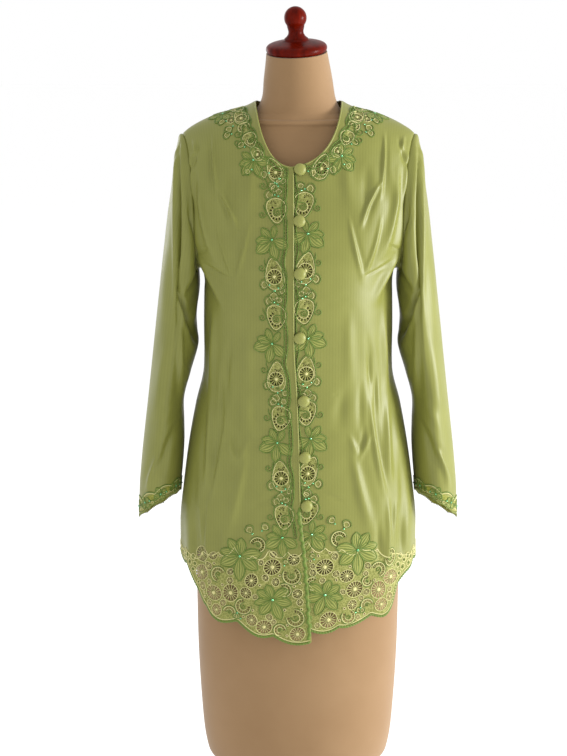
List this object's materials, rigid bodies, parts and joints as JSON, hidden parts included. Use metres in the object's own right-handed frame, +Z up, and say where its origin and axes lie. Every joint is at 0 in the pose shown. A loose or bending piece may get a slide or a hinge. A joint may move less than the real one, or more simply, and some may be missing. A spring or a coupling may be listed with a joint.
{
  "type": "kebaya blouse on a limbless dress form",
  "caption": "Long-sleeved front-buttoning kebaya blouse of striped satin with cutwork embroidery at the opening, hem and cuffs, resting on a limbless dress form on a round stand.",
  "frame": {"origin": "centre of the round base's underside, on the floor under the pole", "axes": "+Z up along the pole, the blouse's opening faces -Y, the wearer's left is +X"},
  "size_m": [0.4992, 0.4, 1.5162],
  "materials": {
    "satin": "yellow-green striped satin, soft sheen",
    "embroidery": "green and pale satin-stitch embroidery with cutwork",
    "covered_button": "buttons and loops covered in the blouse's satin",
    "form_cover": "smooth matte cream knit cover",
    "stained_wood": "red-brown stained and varnished wood",
    "pole_metal": "plain steel tube"
  },
  "bodies": {
    "root": {"back": "satin", "button_1": "covered_button", "button_2": "covered_button", "button_3": "covered_button", "button_4": "covered_button", "button_5": "covered_button", "button_6": "covered_button", "button_7": "covered_button", "cuff_border_left": "embroidery", "cuff_border_right": "embroidery", "form_body": "form_cover", "form_cap": "stained_wood", "front_left": "satin", "front_right": "satin", "hem_border_left": "embroidery", "hem_border_right": "embroidery", "loop_1": "covered_button", "loop_2": "covered_button", "loop_3": "covered_button", "loop_4": "covered_button", "loop_5": "covered_button", "loop_6": "covered_button", "loop_7": "covered_button", "opening_border_left": "embroidery", "opening_border_right": "embroidery", "opening_strip": "satin", "sleeve_left": "satin", "sleeve_right": "satin", "stand_base": "stained_wood", "stand_pole": "pole_metal"}
  },
  "joints": []
}
